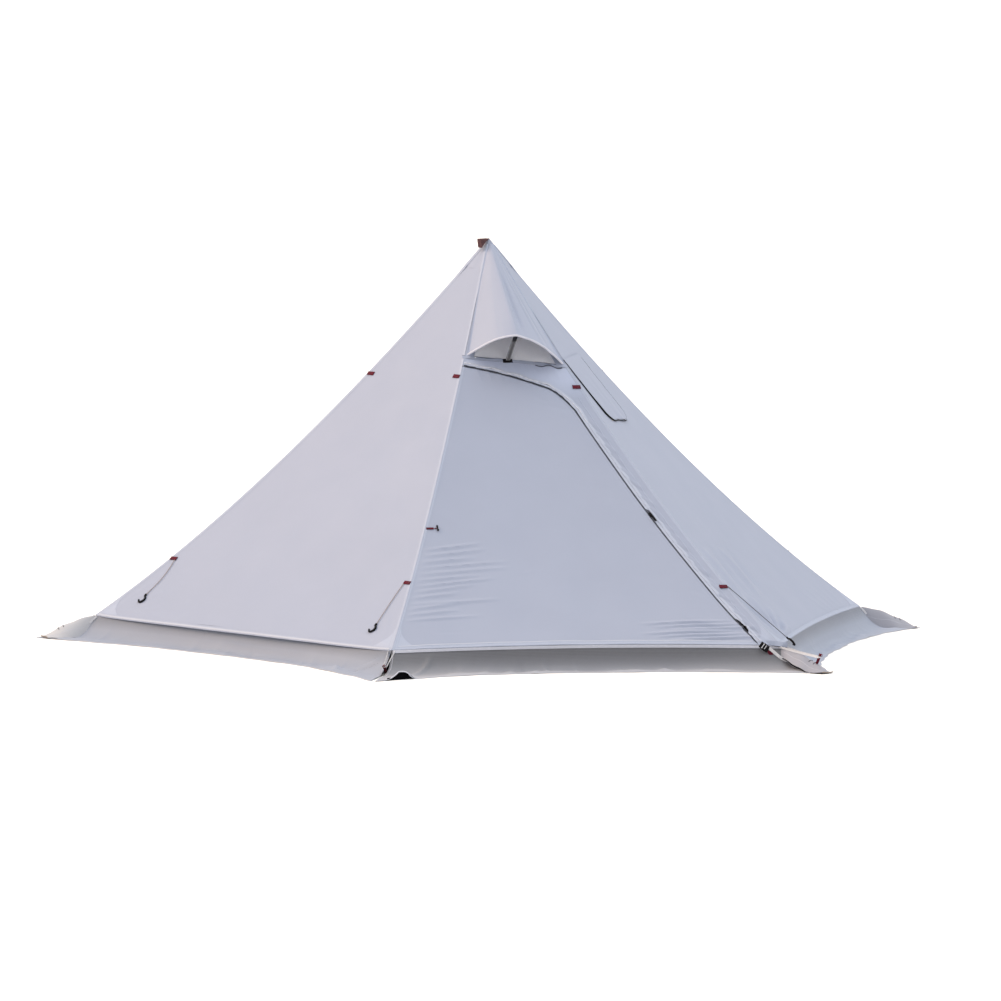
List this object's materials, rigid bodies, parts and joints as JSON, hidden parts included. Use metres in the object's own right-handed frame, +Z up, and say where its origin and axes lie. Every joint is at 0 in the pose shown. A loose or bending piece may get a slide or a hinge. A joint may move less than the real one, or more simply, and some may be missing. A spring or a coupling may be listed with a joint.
{
  "type": "camping tent",
  "caption": "Hexagonal floorless pyramid tent with a telescopic centre pole, zipped door, propped vent, stove-pipe opening, ground skirt, guy loops and pegs.",
  "frame": {"origin": "on the ground under the apex, at the middle of the pole foot's base", "axes": "+Z up; the door side faces -Y; +X runs from the door's hinge side to its zip side"},
  "size_m": [4.9794, 4.424, 2.1291],
  "materials": {
    "canopy": "coated woven polyester",
    "skirt": "coated woven polyester",
    "mesh": "fine netting",
    "stove_jack": "heatproof glass cloth",
    "red_webbing": "woven webbing",
    "white_webbing": "woven webbing",
    "elastic": "braided elastic",
    "zip_tape": "woven tape with coil",
    "black_plastic": "moulded",
    "strut": "fabric-covered stiffener",
    "peg": "anodised",
    "pole": "drawn tube",
    "rubber": "matt"
  },
  "bodies": {
    "canopy": {"apex_cap": "canopy", "cord_hook_front_left": "black_plastic", "cord_hook_front_right": "black_plastic", "cord_hook_left": "black_plastic", "corner_strap_back_left": "white_webbing", "corner_strap_back_right": "white_webbing", "corner_strap_front_left": "white_webbing", "corner_strap_front_right": "white_webbing", "corner_strap_left": "white_webbing", "corner_strap_right": "white_webbing", "door_zip": "zip_tape", "front_frame": "canopy", "hook_cord_front_left": "elastic", "hook_cord_front_right": "elastic", "hook_cord_left": "elastic", "lower_loop_back_left": "red_webbing", "lower_loop_back_right": "red_webbing", "lower_loop_front_left": "red_webbing", "lower_loop_front_right": "red_webbing", "lower_loop_left": "red_webbing", "lower_loop_right": "red_webbing", "panel_back": "canopy", "panel_back_left": "canopy", "panel_back_right": "canopy", "panel_left": "canopy", "panel_right": "canopy", "peg_back_left": "peg", "peg_back_right": "peg", "peg_front_left": "peg", "peg_front_right": "peg", "peg_left": "peg", "peg_right": "peg", "pole_foot": "rubber", "pole_lower": "pole", "sill_strap": "white_webbing", "skirt_back": "skirt", "skirt_back_left": "skirt", "skirt_back_right": "skirt", "skirt_front": "skirt", "skirt_left": "skirt", "skirt_right": "skirt", "stove_jack": "stove_jack", "upper_loop_back_left": "red_webbing", "upper_loop_back_right": "red_webbing", "upper_loop_front_left": "red_webbing", "upper_loop_front_right": "red_webbing", "upper_loop_left": "red_webbing", "upper_loop_right": "red_webbing", "vent_foot": "black_plastic", "vent_hood": "canopy", "vent_mesh": "mesh"},
    "door": {"door_panel": "canopy", "tie_back_loop": "red_webbing"},
    "toggle": {"tie_back_toggle": "black_plastic"},
    "zip_slider": {"zip_slider": "black_plastic"},
    "zip_pull": {"zip_pull": "black_plastic"},
    "vent_strut": {"vent_strut": "strut"},
    "stove_flap": {"stove_jack_flap": "canopy"},
    "pole_upper": {"pole_upper": "pole"},
    "clamp_lever": {"pole_clamp_lever": "black_plastic"}
  },
  "joints": [
    {"name": "door_swing", "type": "hinge", "parent": "canopy", "child": "door", "pos_m": [-0.29373, -0.50876, 1.48761], "axis": [-0.3769, -0.6528, -0.6572], "range_deg": [0, 150]},
    {"name": "toggle_turn", "type": "hinge", "parent": "door", "child": "toggle", "pos_m": [-0.64228, -1.22552, 0.69438], "axis": [0, -0.7093, -0.7049], "range_deg": [0, 60]},
    {"name": "zip_slide", "type": "slide", "parent": "canopy", "child": "zip_slider", "axis": [0.375, -0.6496, -0.6613], "range_m": [-0.08, 0.08]},
    {"name": "zip_pull_turn", "type": "hinge", "parent": "zip_slider", "child": "zip_pull", "pos_m": [0.56719, -1.18647, 0.74781], "axis": [-0.927, -0.2614, -0.2689], "range_deg": [0, 170]},
    {"name": "vent_strut_fold", "type": "hinge", "parent": "canopy", "child": "vent_strut", "pos_m": [-0.034, -0.49269, 1.5167], "axis": [-1, 0, 0], "range_deg": [0, 78], "deforming": ["vent_hood"]},
    {"name": "stove_flap_swing", "type": "hinge", "parent": "canopy", "child": "stove_flap", "pos_m": [0.37444, -0.32299, 1.51881], "axis": [-0.5, -0.866, 0], "range_deg": [0, 150]},
    {"name": "pole_telescope", "type": "slide", "parent": "canopy", "child": "pole_upper", "axis": [0, 0, 1], "range_m": [-0.3, 0]},
    {"name": "clamp_lever_turn", "type": "hinge", "parent": "canopy", "child": "clamp_lever", "pos_m": [0.0244, 0, 1.274], "axis": [0, -1, 0], "range_deg": [0, 100]}
  ]
}
